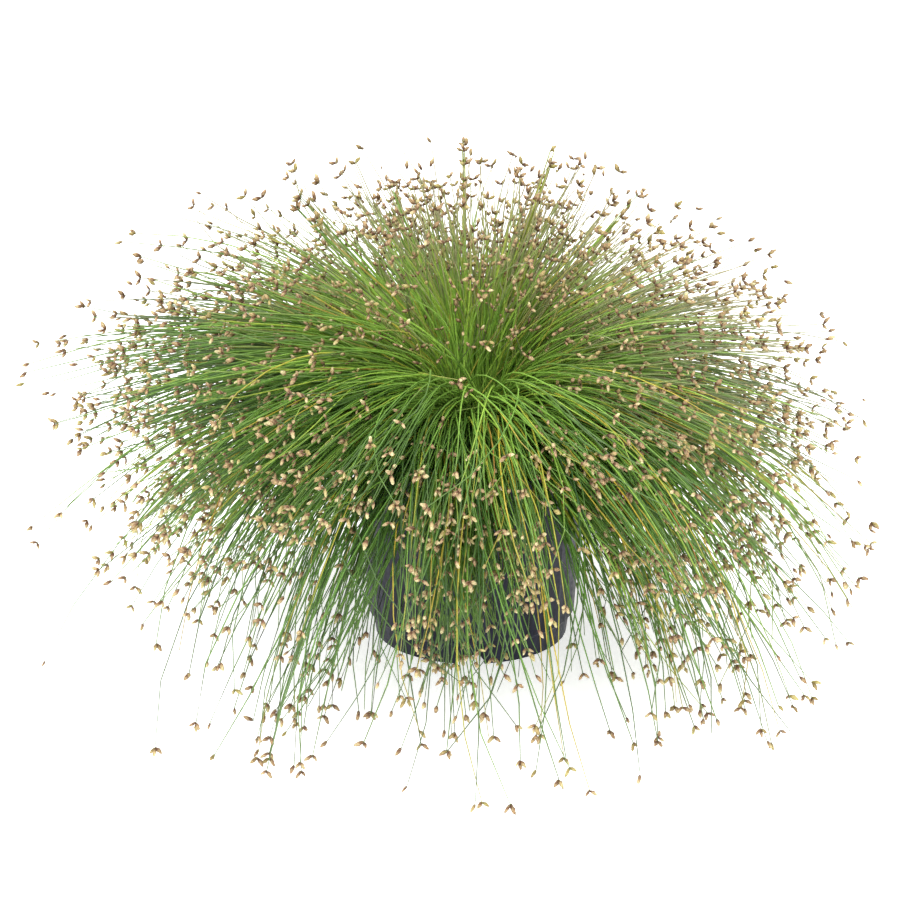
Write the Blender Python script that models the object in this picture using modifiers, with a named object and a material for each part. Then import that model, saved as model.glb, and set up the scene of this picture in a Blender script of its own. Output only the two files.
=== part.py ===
"""Potted fiber optic grass: a nursery pot, its potting soil and a dome of arching tufts."""
import math

import bmesh
import bpy
from mathutils import Vector

# Pot
POT_HEIGHT = 0.115
RIM_RADIUS = 0.0705
RIM_BAND_HEIGHT = 0.0075
RIM_LEDGE = 0.0016
WALL_TOP_RADIUS = 0.0684
WALL_STEP_RADIUS = 0.0622
FOOT_TOP_RADIUS = 0.0592
FOOT_RADIUS = 0.0575
STEP_TOP_HEIGHT = 0.0150
STEP_BOTTOM_HEIGHT = 0.0120
WALL_THICKNESS = 0.0013
FLOOR_HEIGHT = 0.0034
FOOT_RIB_WIDTH = 0.0024
POT_SIDES = 40

# Drainage notches round the foot, and holes in the floor
NOTCH_COUNT = 4
NOTCH_HALF_WIDTH = 0.0078
NOTCH_HEIGHT = 0.0072
NOTCH_DEPTH = 0.0110
NOTCH_SIDES = 16
HOLE_RADIUS = 0.0045
HOLE_RING_RADIUS = 0.0260
HOLE_SIDES = 12

# Potting soil
FIT_GAP = 0.0004
SOIL_HEIGHT = 0.1030
SOIL_EDGE_DROP = 0.0025
SOIL_FLAT_RADIUS = 0.0560

# Dome of tips
TUFT_COUNT = 54
GOLDEN_ANGLE = math.radians(137.50776)
CROWN_RADIUS = 0.0480
DOME_REACH = 0.2440
DOME_HEIGHT = 0.1960
DOME_CENTRE_HEIGHT = 0.1030
BELL_POWER = 0.35
LEAN_LIMIT = math.radians(116.0)
LENGTH_SPREAD = 0.14
AZIMUTH_SPREAD = math.radians(3.0)

# Arch of a tuft
FAN_CENTRE_HEIGHT = 0.1320
DROOP = math.radians(17.0)
RISE_SHARE = 0.05
START_LENGTH = 0.0080
START_PULL = 0.52
END_PULL = 0.26

# Fork of a tuft into its sheaves
SHEAF_COUNT = 3
SHEAF_SPREAD = math.radians(7.5)
FORK_AT = 0.24
STALK_RINGS = 3
SHEAF_RINGS = 4
LAST_RING_AT = 0.90
ROOT_RADIUS = 0.0038
FORK_RADIUS = 0.0048
SHEAF_RADIUS = 0.0042
SHEAF_END_RADIUS = 0.0016

POT_COLOUR = (0.050, 0.050, 0.072, 1.0)
SOIL_COLOUR = (0.035, 0.022, 0.014, 1.0)
STEM_COLOUR = (0.115, 0.270, 0.035, 1.0)
YOUNG_STEM_COLOUR = (0.190, 0.340, 0.045, 1.0)


def clear_scene():
    """Remove every object from the scene."""
    for item in list(bpy.data.objects):
        bpy.data.objects.remove(item, do_unlink=True)


def make_collection(name, parent=None):
    """Add a collection to the scene or to another collection."""
    collection = bpy.data.collections.new(name)
    (parent or bpy.context.scene.collection).children.link(collection)
    return collection


def make_material(name, colour, roughness):
    """Plain surface of one colour."""
    material = bpy.data.materials.new(name)
    material.use_nodes = True
    shader = material.node_tree.nodes["Principled BSDF"]
    shader.inputs["Base Color"].default_value = colour
    shader.inputs["Roughness"].default_value = roughness
    material.diffuse_color = colour
    return material


def wall_radius(height):
    """Outer radius of the pot's wall at a height."""
    if height >= STEP_TOP_HEIGHT:
        share = (height - STEP_TOP_HEIGHT) / (POT_HEIGHT - STEP_TOP_HEIGHT)
        return WALL_STEP_RADIUS + share * (WALL_TOP_RADIUS - WALL_STEP_RADIUS)
    if height >= STEP_BOTTOM_HEIGHT:
        share = (height - STEP_BOTTOM_HEIGHT) / (STEP_TOP_HEIGHT - STEP_BOTTOM_HEIGHT)
        return FOOT_TOP_RADIUS + share * (WALL_STEP_RADIUS - FOOT_TOP_RADIUS)
    return FOOT_RADIUS + height / STEP_BOTTOM_HEIGHT * (FOOT_TOP_RADIUS - FOOT_RADIUS)


def inner_radius(height):
    """Inner radius of the pot's wall at a height."""
    return wall_radius(height) - WALL_THICKNESS


def turned_solid(name, outline, material, collection):
    """Solid of revolution from an outline of radius and height pairs, inside first."""
    mesh = bpy.data.meshes.new(name)
    points = [(radius, 0.0, height) for radius, height in outline]
    edges = [(i, i + 1) for i in range(len(points) - 1)]
    mesh.from_pydata(points, edges, [])
    mesh.materials.append(material)
    solid = bpy.data.objects.new(name, mesh)
    collection.objects.link(solid)
    screw = solid.modifiers.new("turn", "SCREW")
    screw.axis = "Z"
    screw.angle = math.tau
    screw.steps = POT_SIDES
    screw.render_steps = POT_SIDES
    screw.use_merge_vertices = True
    screw.merge_threshold = 0.00001
    screw.use_smooth_shade = True
    return solid


def make_pot(material, collection, cutters):
    """Thin tapered wall with a banded rim, a foot that steps in and a raised floor."""
    floor_top = FLOOR_HEIGHT + WALL_THICKNESS
    band_bottom = POT_HEIGHT - RIM_BAND_HEIGHT
    rib_radius = FOOT_RADIUS - FOOT_RIB_WIDTH
    outline = [
        (0.0, floor_top),
        (inner_radius(floor_top), floor_top),
        (inner_radius(STEP_BOTTOM_HEIGHT), STEP_BOTTOM_HEIGHT),
        (inner_radius(STEP_TOP_HEIGHT), STEP_TOP_HEIGHT),
        (inner_radius(POT_HEIGHT), POT_HEIGHT - RIM_LEDGE),
        (inner_radius(POT_HEIGHT) + RIM_LEDGE / 2, POT_HEIGHT),
        (RIM_RADIUS - RIM_LEDGE / 2, POT_HEIGHT),
        (RIM_RADIUS, POT_HEIGHT - RIM_LEDGE / 2),
        (RIM_RADIUS - RIM_LEDGE / 4, band_bottom),
        (wall_radius(band_bottom), band_bottom - RIM_LEDGE / 2),
        (wall_radius(STEP_TOP_HEIGHT), STEP_TOP_HEIGHT),
        (wall_radius(STEP_BOTTOM_HEIGHT), STEP_BOTTOM_HEIGHT),
        (FOOT_RADIUS, 0.0),
        (rib_radius, 0.0),
        (rib_radius - WALL_THICKNESS / 2, FLOOR_HEIGHT),
        (0.0, FLOOR_HEIGHT),
    ]
    pot = turned_solid("nursery_pot", outline, material, collection)
    for number in range(NOTCH_COUNT):
        azimuth = math.tau * number / NOTCH_COUNT - math.pi / 2
        cut(pot, make_notch(number, azimuth, cutters))
        cut(pot, make_hole(number, azimuth + math.pi / NOTCH_COUNT, cutters))
    return pot


def make_notch(number, azimuth, cutters):
    """Round-topped block across the foot, for one drainage notch."""
    bpy.ops.mesh.primitive_cylinder_add(
        vertices=NOTCH_SIDES, radius=1.0, depth=2.0 * NOTCH_DEPTH, rotation=(0.0, math.pi / 2, azimuth)
    )
    notch = bpy.context.object
    notch.name = f"notch_cutter_{number + 1}"
    notch.scale = (NOTCH_HEIGHT, NOTCH_HALF_WIDTH, 1.0)
    reach = FOOT_RADIUS
    notch.location = (reach * math.cos(azimuth), reach * math.sin(azimuth), 0.0)
    return store_cutter(notch, cutters)


def make_hole(number, azimuth, cutters):
    """Upright cylinder for one drain hole in the floor."""
    bpy.ops.mesh.primitive_cylinder_add(vertices=HOLE_SIDES, radius=HOLE_RADIUS, depth=4.0 * FLOOR_HEIGHT)
    hole = bpy.context.object
    hole.name = f"hole_cutter_{number + 1}"
    reach = HOLE_RING_RADIUS
    hole.location = (reach * math.cos(azimuth), reach * math.sin(azimuth), FLOOR_HEIGHT)
    return store_cutter(hole, cutters)


def store_cutter(cutter, cutters):
    """Move a cutter to its own collection and hide it from renders."""
    for collection in list(cutter.users_collection):
        collection.objects.unlink(cutter)
    cutters.objects.link(cutter)
    cutter.hide_render = True
    cutter.display_type = "WIRE"
    return cutter


def cut(solid, cutter):
    """Take a cutter's shape away from a solid."""
    boolean = solid.modifiers.new(cutter.name, "BOOLEAN")
    boolean.operation = "DIFFERENCE"
    boolean.solver = "EXACT"
    boolean.object = cutter


def make_soil(material, collection):
    """Plug of potting soil that follows the pot's inside and drops a little at the wall."""
    bottom = FLOOR_HEIGHT + WALL_THICKNESS + FIT_GAP
    edge_height = SOIL_HEIGHT - SOIL_EDGE_DROP
    outline = [
        (0.0, SOIL_HEIGHT),
        (SOIL_FLAT_RADIUS, SOIL_HEIGHT),
        (inner_radius(edge_height) - FIT_GAP, edge_height),
        (inner_radius(STEP_TOP_HEIGHT) - FIT_GAP, STEP_TOP_HEIGHT),
        (inner_radius(STEP_BOTTOM_HEIGHT) - FIT_GAP, STEP_BOTTOM_HEIGHT),
        (inner_radius(bottom) - FIT_GAP, bottom),
        (0.0, bottom),
    ]
    return turned_solid("potting_soil", outline, material, collection)


def wander(index, seed):
    """Repeatable number from -1 to 1 for a tuft."""
    value = math.sin(index * 12.9898 + seed * 78.233) * 43758.5453
    return 2.0 * (value - math.floor(value)) - 1.0


def tuft_share(index):
    """Place of a tuft from the crown's centre, 0, to its edge, 1, by area."""
    return (index + 0.5) / TUFT_COUNT


def tuft_root(index):
    """Where a tuft leaves the soil."""
    radius = CROWN_RADIUS * math.sqrt(tuft_share(index))
    azimuth = index * GOLDEN_ANGLE
    return Vector((radius * math.cos(azimuth), radius * math.sin(azimuth), SOIL_HEIGHT + FIT_GAP))


def tuft_aim(index):
    """Lean from straight up and azimuth of a tuft, so that the tips cover the dome evenly."""
    lean = math.acos(1.0 - tuft_share(index) * (1.0 - math.cos(LEAN_LIMIT)))
    return lean, index * GOLDEN_ANGLE + AZIMUTH_SPREAD * wander(index, 1)


def dome_point(lean, azimuth, length):
    """Point on the dome of tips, at a lean from straight up; below its centre the dome hangs like a bell."""
    level = math.sin(lean) if lean < math.pi / 2 else math.sin(lean) ** BELL_POWER
    return Vector((
        length * DOME_REACH * level * math.cos(azimuth),
        length * DOME_REACH * level * math.sin(azimuth),
        DOME_CENTRE_HEIGHT + length * DOME_HEIGHT * math.cos(lean),
    ))


def sheaf_angle(index, sheaf):
    """Side of its tuft to which a sheaf parts from the others."""
    return math.pi * wander(index, 4) + math.tau * sheaf / SHEAF_COUNT


def sheaf_tip(index, sheaf):
    """Tip of one sheaf, beside the point that its tuft aims at."""
    lean, azimuth = tuft_aim(index)
    side = sheaf_angle(index, sheaf)
    lean += SHEAF_SPREAD * math.cos(side)
    azimuth += SHEAF_SPREAD * math.sin(side) / max(math.sin(lean), math.sin(2 * SHEAF_SPREAD))
    return dome_point(lean, azimuth, 1.0 - LENGTH_SPREAD * abs(wander(index, 5 + sheaf)))


def all_tips():
    """Tips of every tuft's sheaves, drawn out so that they reach as far to each side of the pot."""
    tips = [[sheaf_tip(index, sheaf) for sheaf in range(SHEAF_COUNT)] for index in range(TUFT_COUNT)]
    flat = [tip for group in tips for tip in group]
    for axis in (0, 1):
        far_side = max(tip[axis] for tip in flat)
        near_side = -min(tip[axis] for tip in flat)
        for tip in flat:
            tip[axis] *= DOME_REACH / (far_side if tip[axis] > 0.0 else near_side)
    return tips


def heading(lean, azimuth):
    """Unit direction at a lean from straight up."""
    return Vector((math.sin(lean) * math.cos(azimuth), math.sin(lean) * math.sin(azimuth), math.cos(lean)))


def end_aim(tip):
    """Lean and azimuth with which a curve arrives at its tip, lower the further it hangs."""
    lean = math.atan2(math.hypot(tip.x, tip.y), tip.z - FAN_CENTRE_HEIGHT)
    return lean + DROOP * (1.0 - math.cos(lean)) ** 2, math.atan2(tip.y, tip.x)


def arch_point(root, aim, tip, t):
    """Point and direction at t on a curve that rises with its tuft, bends over and runs out to its tip."""
    start = root + Vector((0.0, 0.0, START_LENGTH))
    tuft_lean, tuft_azimuth = end_aim(aim)
    first = start + START_PULL * (aim - start).length * heading(RISE_SHARE * tuft_lean, tuft_azimuth)
    last = tip - END_PULL * (tip - start).length * heading(*end_aim(tip))
    s = 1.0 - t
    point = s**3 * start + 3 * s * s * t * first + 3 * s * t * t * last + t**3 * tip
    direction = s * s * (first - start) + 2 * s * t * (last - first) + t * t * (tip - last)
    return point, direction.normalized()


def ring(mesh, centre, direction, azimuth, radius, angles):
    """Ring of corners square to a direction, at angles from the side that leans out."""
    across = Vector((-math.sin(azimuth), math.cos(azimuth), 0.0))
    outward = across.cross(direction).normalized()
    across = direction.cross(outward)
    return [
        mesh.verts.new(centre + radius * (math.cos(angle) * outward + math.sin(angle) * across))
        for angle in angles
    ]


def bridge(mesh, lower, upper):
    """Faces between two rings with the same number of corners."""
    count = len(lower)
    for i in range(count):
        j = (i + 1) % count
        mesh.faces.new((lower[i], lower[j], upper[j], upper[i]))


def add_stalk(mesh, index, root, aim):
    """Lower, undivided part of a tuft, from the soil to its fork; gives the fork's ring and centre."""
    azimuth = math.atan2(aim.y, aim.x)
    corner_count = 2 * SHEAF_COUNT
    first_angle = sheaf_angle(index, 0) - math.tau / corner_count
    angles = [first_angle + math.tau * corner / corner_count for corner in range(corner_count)]
    upright = Vector((0.0, 0.0, 1.0))
    lower = ring(mesh, root, upright, azimuth, ROOT_RADIUS, angles)
    mesh.faces.new(list(reversed(lower)))
    for number in range(STALK_RINGS):
        share = number / (STALK_RINGS - 1)
        centre, direction = arch_point(root, aim, aim, FORK_AT * share)
        if number == 0:
            direction = (direction + upright).normalized()
        radius = ROOT_RADIUS + share * (FORK_RADIUS - ROOT_RADIUS)
        upper = ring(mesh, centre, direction, azimuth, radius, angles)
        bridge(mesh, lower, upper)
        lower = upper
    return lower, mesh.verts.new(centre)


def add_sheaf(mesh, root, aim, tip, side, lower):
    """One slender sheaf from its share of the fork, fullest half way to its point."""
    azimuth = math.atan2(tip.y, tip.x)
    angles = [side + math.pi, side + 1.5 * math.pi, side, side + 0.5 * math.pi]
    for number in range(1, SHEAF_RINGS + 1):
        share = number / SHEAF_RINGS
        centre, direction = arch_point(root, aim, tip, FORK_AT + share * (LAST_RING_AT - FORK_AT))
        radius = SHEAF_END_RADIUS + (SHEAF_RADIUS - SHEAF_END_RADIUS) * 4.0 * share * (1.0 - share)
        upper = ring(mesh, centre, direction, azimuth, radius, angles)
        bridge(mesh, lower, upper)
        lower = upper
    point = mesh.verts.new(tip)
    for i in range(len(lower)):
        mesh.faces.new((lower[i], lower[(i + 1) % len(lower)], point))


def make_tuft(index, tips, material, collection):
    """Tuft of stems that leaves the soil as one stalk and forks into arching sheaves."""
    name = f"tuft_{index + 1:02d}"
    root = tuft_root(index)
    aim = sum(tips, Vector()) / SHEAF_COUNT
    mesh = bmesh.new()
    fork, centre = add_stalk(mesh, index, root, aim)
    for sheaf, tip in enumerate(tips):
        corners = [fork[(2 * sheaf + corner) % len(fork)] for corner in range(3)]
        add_sheaf(mesh, root, aim, tip, sheaf_angle(index, sheaf), [centre] + corners)
    for face in mesh.faces:
        face.smooth = True
    data = bpy.data.meshes.new(name)
    mesh.to_mesh(data)
    mesh.free()
    data.materials.append(material)
    tuft = bpy.data.objects.new(name, data)
    collection.objects.link(tuft)
    return tuft


def main():
    """Build the potted grass."""
    clear_scene()
    solids = make_collection("potted_fiber_optic_grass")
    cutters = make_collection("cutters", solids)
    pot_material = make_material("pot_plastic", POT_COLOUR, 0.45)
    soil_material = make_material("potting_soil", SOIL_COLOUR, 0.95)
    stem_material = make_material("grass_stem", STEM_COLOUR, 0.55)
    young_material = make_material("young_grass_stem", YOUNG_STEM_COLOUR, 0.55)
    make_pot(pot_material, solids, cutters)
    make_soil(soil_material, solids)
    for index, tips in enumerate(all_tips()):
        material = young_material if wander(index, 3) > 0.3 else stem_material
        make_tuft(index, tips, material, solids)


main()
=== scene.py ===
"""Looks of a potted fiber optic grass: stems, spikelets, soil and pot, set on a pale stage."""
import math

import bpy
import numpy as np
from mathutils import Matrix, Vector


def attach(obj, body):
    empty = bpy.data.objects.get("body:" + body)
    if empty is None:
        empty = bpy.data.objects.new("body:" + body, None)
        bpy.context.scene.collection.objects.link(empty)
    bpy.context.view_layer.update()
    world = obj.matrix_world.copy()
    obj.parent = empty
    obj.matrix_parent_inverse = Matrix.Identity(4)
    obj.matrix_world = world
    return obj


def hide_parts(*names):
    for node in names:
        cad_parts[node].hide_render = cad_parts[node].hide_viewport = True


bl_info = {
    "name": "Potted Fiber Optic Grass",
    "version": (1, 0, 0),
    "blender": (4, 5, 0),
    "location": "View3D > Sidebar > Potted Grass",
    "description": "Grows a dome of fine arching stems tipped with spikelets over a nursery pot",
    "category": "Add Mesh",
}

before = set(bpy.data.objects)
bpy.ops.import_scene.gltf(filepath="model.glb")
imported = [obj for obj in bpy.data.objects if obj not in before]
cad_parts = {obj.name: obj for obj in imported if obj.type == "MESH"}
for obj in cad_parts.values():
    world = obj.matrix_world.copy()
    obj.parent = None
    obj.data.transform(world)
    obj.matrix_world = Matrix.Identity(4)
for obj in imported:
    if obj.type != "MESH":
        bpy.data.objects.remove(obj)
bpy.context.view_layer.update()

# Pot and soil, as in the solids
POT_HEIGHT = 0.115
RIM_RADIUS = 0.0705
RIM_INSIDE_RADIUS = 0.0660
SOIL_HEIGHT = 0.1030
SOIL_FLAT_RADIUS = 0.0560
FIT_GAP = 0.0004

# Dome of tips, as in the solids
TUFT_COUNT = 54
GOLDEN_ANGLE = math.radians(137.50776)
CROWN_RADIUS = 0.0480
DOME_REACH = 0.2440
DOME_HEIGHT = 0.1960
DOME_CENTRE_HEIGHT = 0.1030
BELL_POWER = 0.35
LEAN_LIMIT = math.radians(116.0)
AZIMUTH_SPREAD = math.radians(3.0)
FAN_CENTRE_HEIGHT = 0.1320
DROOP = math.radians(17.0)
RISE_SHARE = 0.05
START_PULL = 0.52
END_PULL = 0.26
SHEAF_COUNT = 3
SHEAF_SPREAD = math.radians(7.5)
AIM_SEED = 1
FORK_SEED = 4
WANDER_SCALES = (12.9898, 78.233, 43758.5453)

# Step between the draws of one seed and the next, and where those of the spikelets and crumbs start
SEED_STEP = 1000
SPIKELET_SEED = 500
CRUMB_SEED = 900

# Outline of the dome, which is fuller and lower at one side
SIDE_AZIMUTH = math.radians(200.0)
SIDE_LEAN = 0.075
SIDE_LIFT = 0.045
TOP_TRIM = 0.08
LOWEST_TIP = 0.0060
HIGHEST_TIP = 0.2912
WIDEST_TIP = 0.2590

# Stems to a tuft, as a share of the usual number, and stems to a wisp, by the tuft's lean in degrees
TUFT_LEANS = (0.0, 30.0, 60.0, 90.0, 116.0)
DENSITY = (1.35, 1.35, 1.20, 0.98, 1.42)
WISP_SIZES = (4.0, 4.0, 4.0, 6.0, 9.0)

# Least lean of a stem, the lean from which stems count as low with its span, and the greatest lean
LEAST_LEAN = 0.01
LOW_LEANS = (math.radians(88.0), math.radians(25.0))
LOWEST_LEAN = math.radians(134.0)

# Spread of the wisps about their sheaf, of the stems about their wisp and of their roots in the soil
WISP_SPREAD = math.radians(6.5)
CLOSE_SPREAD = math.radians(2.2)
STRAY_SPREAD = math.radians(9.0)
STRAY_SHARE = 0.34
LOW_STRAY_SHARE = 0.12
LOW_LOOSENESS = 0.6
LEAST_LEVEL = 0.25
ROOT_SPREAD = 0.0062
ROOT_DEPTH = 0.0010
FIRM_ROOTS = 0.5

# Lengths of the stems, as shares of the way to the dome
LENGTH_RANGE = 0.46
LENGTH_POWER = 0.74
UNEVENNESS = 0.08
LOW_UNEVENNESS = 1.9
LONGEST_LOOSE = 1.03
SHORTEST = 0.46
LONGEST = 1.07
FRINGE = 0.10
FRINGE_AZIMUTH = math.radians(-114.0)

# Low stems of the fuller side, which are shorter, from a lean on and over a span in radians
LEFT_LEANS = (1.3, 0.5)
LEFT_TRIM = 0.26
LEFT_TRIM_SHARE = 0.88

# Bends, as the spread from wisp to wisp, the spread from stem to stem and what strays have on top
DROOP_BEND = (math.radians(6.0), math.radians(5.0), 1.0)
SWING_BEND = (math.radians(11.0), math.radians(10.0), 0.0)
VEER_BEND = (math.radians(8.0), math.radians(5.5), 2.0)
BOW_BEND = (0.016, 0.014, 2.0)
RISE_SPREAD = 0.045
LOW_RISE = 0.10
LOW_PULL = 0.07
LOW_BENDING = 1.9
WAVE_SPREAD = 0.011
LOW_WAVE = 0.9
CURL = 1.6
CURL_SHARE = 0.03

# Form of one stem
STEM_SIDES = 3
STEM_STEPS = 9
STEM_TAPER = 2.8
STEM_FOOT = 0.0005
STEM_POINT = 0.0012
BEND_FOCUS = 0.35
ROOT_WEIGHT = 0.5
THICKNESS = (0.82, 0.36)
FIRM_THICKNESS = 0.25
TURNED_THINNING = 0.14

# Stems that would cut through the pot's rim
RIM_CLEARANCE = 0.0016
RIM_NEAR_INSIDE = 0.004
RIM_NEAR_OUTSIDE = 0.006
MOST_LIFT = 0.02
LEAST_ARC = 0.2

# Bundles that stand out from the dome: lean, azimuth, length, tone, count, spread and unevenness of
# length, with the three angles in degrees
BUNDLES = (
    (8.5, 98.0, 1.07, 0.93, 10, 0.35, 0.22),
    (15.0, 38.0, 1.03, 0.97, 10, 0.38, 0.24),
    (27.0, 18.0, 0.97, 0.90, 11, 0.50, 0.24),
    (13.5, 150.0, 0.95, 0.72, 10, 0.50, 0.20),
    (24.0, 175.0, 0.95, 0.66, 10, 0.60, 0.20),
    # These four bundles at the fuller side get a dark tone that is painted shade
    (56.0, 181.0, 0.99, 0.14, 40, 4.20, 0.42),
    (64.0, 186.0, 0.90, 0.16, 38, 4.20, 0.40),
    (60.0, 170.0, 0.95, 0.18, 34, 4.20, 0.40),
    (70.0, 196.0, 0.84, 0.20, 30, 4.20, 0.40),
    (112.0, -90.0, 0.66, 0.62, 44, 4.00, 0.32),
    (120.0, -88.0, 0.66, 0.58, 42, 4.50, 0.38),
    (118.0, -92.0, 0.90, 0.42, 5, 5.50, 0.46),
    (118.0, -81.0, 0.90, 0.42, 9, 5.50, 0.44),
    (123.0, -114.0, 0.90, 0.44, 40, 4.50, 0.46),
    (128.0, -123.0, 0.75, 0.44, 30, 6.00, 0.42),
    (118.0, -127.0, 0.84, 0.42, 12, 8.00, 0.48),
    (126.0, -133.0, 0.72, 0.44, 10, 7.00, 0.42),
    (124.0, -60.0, 0.88, 0.46, 30, 7.00, 0.38),
    (114.0, -44.0, 0.90, 0.46, 30, 8.00, 0.38),
)
BUNDLE_EXTRA = 0.7
BUNDLE_LEAST_LEVEL = 0.15
BUNDLE_TONE_SPREAD = 0.05
LOOSE_BUNDLE = math.radians(4.0)
FIRM_BUNDLE = math.radians(1.0)
FIRM_TONE = 0.85
FIRM_AGE = 0.64

# Parting of the crown towards the front
PARTING_LEAN = math.radians(47.0)
PARTING_AZIMUTH = math.radians(-90.0)
PARTING_WIDTH = math.radians(26.0)
PARTING_PUSH = 0.72
PARTING_SHARE = 0.80

# Sides of the pot's front, which few stems hang over, and the lowest stems, which swing in between them
BESIDE_AT = math.radians(19.0)
BESIDE_WIDTH = math.radians(8.5)
BESIDE_LEAN = math.radians(73.0)
BESIDE_LEAN_SPAN = math.radians(12.0)
BESIDE_PUSH = 0.85
BESIDE_LIFT = 0.75
BESIDE_SHARE = 0.94
FRONT_LEANS = (math.radians(111.0), math.radians(8.0))
FRONT_SHARE = 0.54
FRONT_SWING = 0.95

# Tone of the wisps, from dark at 0 to fresh at 1
TONE_MIDDLE = 0.47
TONE_SPREAD = 0.13
TOP_TONE = 0.33
SIDES_TONE = 0.19
FRONT_TONE = 0.07
SIDES_LEANS = (math.radians(75.0), math.radians(25.0))
SIDES_FADE = 2.6
STEM_TONE_SPREAD = 0.12

# Straw-coloured ends, from green at 0 to dry at 1
DRY_TOP = 0.85
DRY_BACK = 0.70
DRY_RIGHT = 0.34
DRY_LOW = 0.70
DRY_LOW_SHARE = 0.45
DRY_EVEN = 0.02
DRY_SPREAD = 0.14

# Stems turned yellow or rusty, most at the right, with the azimuth in radians
TURNED_AZIMUTH = -0.3
TURNED_SHARE = 0.070
TURNED_RIGHT_SHARE = 0.140
TURNED_LOW_SHARE = 0.055
TURNED_AGE = 0.55
TURNED_AGE_RANGE = 0.45
TURNED_LOW_AGE = 0.03
TURNED_LOW_POWER = 0.4
GREEN_AGE_RANGE = 0.30

# Painted light on the feet of upright stems, which are also a fresher green, and painted shade on the feet
# of low ones, and how far up a stem each shows
PAINTED_LIGHT_LIFT = 0.20
PAINTED_LIGHT_START = 1.5
PAINTED_LIGHT_REACH = 0.50
SHADY_LIFT = 0.15
SHADY_SPAN = 0.6
SHADY_REACH = 0.66

# Spikelets: the shares of stems with none, one, two and three, and where low stems near the pot are barren
NUMBER_SHARES = (0.12, 0.26, 0.49, 0.13)
BARREN_REACH = 0.150
BARREN_SHARE = 0.70
SPIKELET_SIDES = 5
SPIKELET_RINGS = ((0.14, 0.66), (0.46, 1.0), (0.80, 0.66))
SCALE_RELIEF = 0.12
RING_TWIST = 0.35
SPIKELET_TURN = 0.25
SPIKELET_TILT = (0.72, 0.28)
LONE_TILT = 0.5
MIDDLE_TILT = 0.25
SPIKELET_SAG = 0.12
SPIKELET_SIZE = (0.78, 0.44)
SPIKELET_WIDTH = (0.85, 0.30)
OUTER_REACHES = (0.09, 0.16)
OUTER_SIZES = (0.88, 1.10)
FRONT_REACH = 0.20
FRONT_SHRINK = 0.05
SPIKELET_BACK = (0.0002, 0.0014)
SPIKELET_STEP = 0.0003
FLOOR_GAP = 0.0015
FLOOR_LIFT = 0.3
RIPENESS = 0.52
RIPENESS_DROP = 0.34
RIPENESS_POWER = 0.8
RIPENESS_SPREAD = 0.24

# Soil crumbs
CRUMB_SIDES = 6
CRUMB_RINGS = ((0.15, 0.62), (0.50, 1.0), (0.85, 0.62))
CRUMB_MARGIN = 0.002
CRUMB_SIZE = (0.25, 0.75)
CRUMB_ROUGHNESS = (0.72, 0.5)
CRUMB_FULLNESS = 0.42
SOIL_SLOPE = 0.25

# Least length that is divided by, and the upward share from which a direction counts as upright
TINY = 1e-12
UPRIGHT = 0.9

# Map of a piece's copies, each in its own cell
MAP_NAME = "OFBake"
MAP_ROWS = 2
MAP_MARGIN = 0.10
MAP_GAP = 0.02

# Colours between those of the settings
WHITE = (1.0, 1.0, 1.0, 1.0)
YELLOW_GREEN = (0.420, 0.500, 0.040, 1.0)
TURNING_GREEN = (0.430, 0.400, 0.034, 1.0)
THIN_END = (0.088, 0.120, 0.040, 1.0)
# Bright green painted on the feet of upright stems as light, over their fresher green
PAINTED_LIGHT_FRESH_FOOT = (0.465, 0.735, 0.140, 1.0)
FRESH_SCALE = (0.43, 0.31, 0.165, 1.0)
RIPE_SCALE = (0.40, 0.27, 0.14, 1.0)
GREEN_SCALE = (0.34, 0.34, 0.08, 1.0)
STEM_MOTTLE = ((0.30, (0.72, 0.74, 0.70, 1.0)), (0.70, (1.22, 1.18, 1.15, 1.0)))
SCALE_MOTTLE = ((0.35, (0.60, 0.50, 0.44, 1.0)), (0.62, (1.14, 1.12, 1.08, 1.0)))
CRUMB_MOTTLE = ((0.3, (0.55, 0.55, 0.55, 1.0)), (0.7, (1.35, 1.3, 1.25, 1.0)))
NOISE_LOW = 0.3
NOISE_HIGH = 0.7

# Stage, with each lamp's name, place, share of the power and size
FLOOR_HALF = 20.0
LAMP_AIM = (0.0, 0.0, 0.15)
LAMPS = (
    ("key_lamp", (-0.7, -1.1, 1.7), 1.30, 1.6),
    ("front_lamp", (0.5, -1.9, 0.9), 0.48, 2.0),
    ("top_lamp", (0.1, 0.3, 1.9), 1.35, 2.0),
)

# Camera, fitted to the pot's foot and wall
CAMERA_PLACE = (0.0, -1.2460, 0.5307)
CAMERA_AIM = (-0.0126, -0.0130, 0.1162)
CAMERA_LENS = 89.2
SENSOR_WIDTH = 36.0


def colour_setting(name, description, colour):
    """Colour that a user can change."""
    return bpy.props.FloatVectorProperty(
        name=name, description=description, default=colour + (1.0,),
        subtype="COLOR", size=4, min=0.0, max=1.0,
    )


def size_setting(name, description, least, most, size):
    """Length in metres that a user can change."""
    return bpy.props.FloatProperty(
        name=name, description=description, default=size,
        subtype="DISTANCE", unit="LENGTH", min=least, max=most,
    )


class PotSettings(bpy.types.PropertyGroup):
    """Moulded plastic of the nursery pot."""

    colour: colour_setting("Colour", "Colour of the plastic", (0.005, 0.006, 0.016))
    worn_colour: colour_setting(
        "Worn Colour", "Paler colour of scuffs and flow lines", (0.019, 0.022, 0.050),
    )
    roughness: bpy.props.FloatProperty(
        name="Roughness", description="Roughness of the plastic", subtype="FACTOR",
        min=0.0, max=1.0, default=0.42,
    )


class SoilSettings(bpy.types.PropertyGroup):
    """Moist potting soil."""

    colour: colour_setting("Colour", "Colour of the moist peat", (0.030, 0.018, 0.011))
    crumb_colour: colour_setting("Crumb Colour", "Colour of dry bark crumbs", (0.120, 0.070, 0.036))
    crumb_count: bpy.props.IntProperty(
        name="Crumbs", description="Number of crumbs on the soil", min=0, max=3000, default=600,
    )
    crumb_size: size_setting("Crumb Size", "Size of the largest crumbs", 0.0005, 0.01, 0.0034)


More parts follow.
